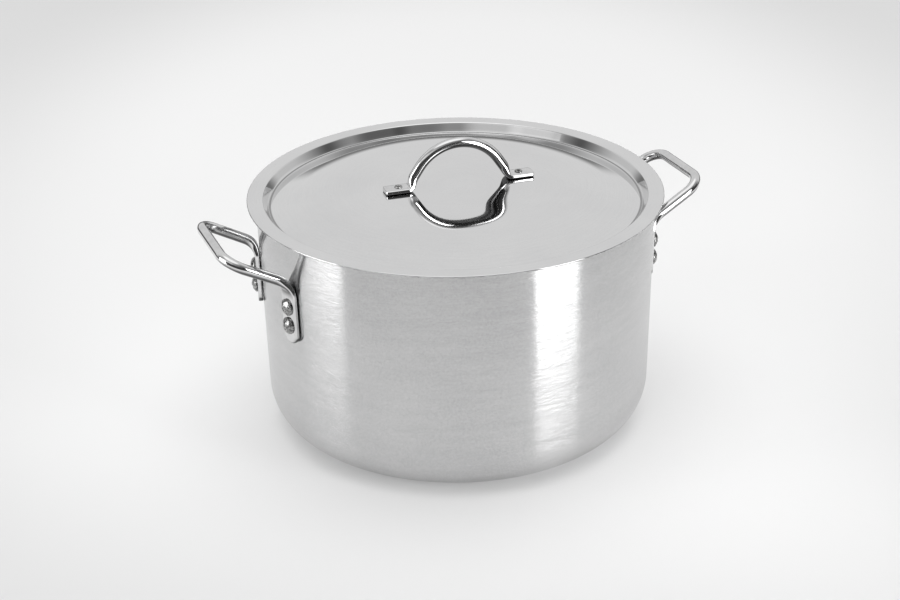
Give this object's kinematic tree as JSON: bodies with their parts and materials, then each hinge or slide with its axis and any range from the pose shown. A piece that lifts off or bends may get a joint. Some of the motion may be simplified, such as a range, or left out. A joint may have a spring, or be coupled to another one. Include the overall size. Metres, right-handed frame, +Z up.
{
  "type": "stock pot",
  "caption": "Wide aluminium stock pot with bent-rod side handles riveted to the wall and a loose lid with a stepped rim, raised flat-topped panel and arched rod handle.",
  "frame": {"origin": "centre of the base, on the surface that the pot stands on", "axes": "+Z up through the pot's axis; +X from the pot's axis to the middle of the right handle, so both side handles lie along X"},
  "size_m": [0.395, 0.318, 0.2273],
  "materials": {
    "pot_aluminium": "satin, brushed round the wall",
    "lid_aluminium": "polished with a faint grain",
    "handle_steel": "polished",
    "rivet_aluminium": "hammered satin"
  },
  "bodies": {
    "pot": {"pot_body": "pot_aluminium", "left_handle": "handle_steel", "right_handle": "handle_steel", "left_front_upper_rivet": "rivet_aluminium", "left_front_lower_rivet": "rivet_aluminium", "left_back_upper_rivet": "rivet_aluminium", "left_back_lower_rivet": "rivet_aluminium", "right_front_upper_rivet": "rivet_aluminium", "right_front_lower_rivet": "rivet_aluminium", "right_back_upper_rivet": "rivet_aluminium", "right_back_lower_rivet": "rivet_aluminium"},
    "lid": {"lid_panel": "lid_aluminium", "lid_handle": "handle_steel", "lid_left_rivet": "rivet_aluminium", "lid_right_rivet": "rivet_aluminium"}
  },
  "joints": [
    {"name": "lid_lift", "type": "slide", "parent": "pot", "child": "lid", "axis": [0, 0, 1], "range_m": [0, 0.2]}
  ]
}
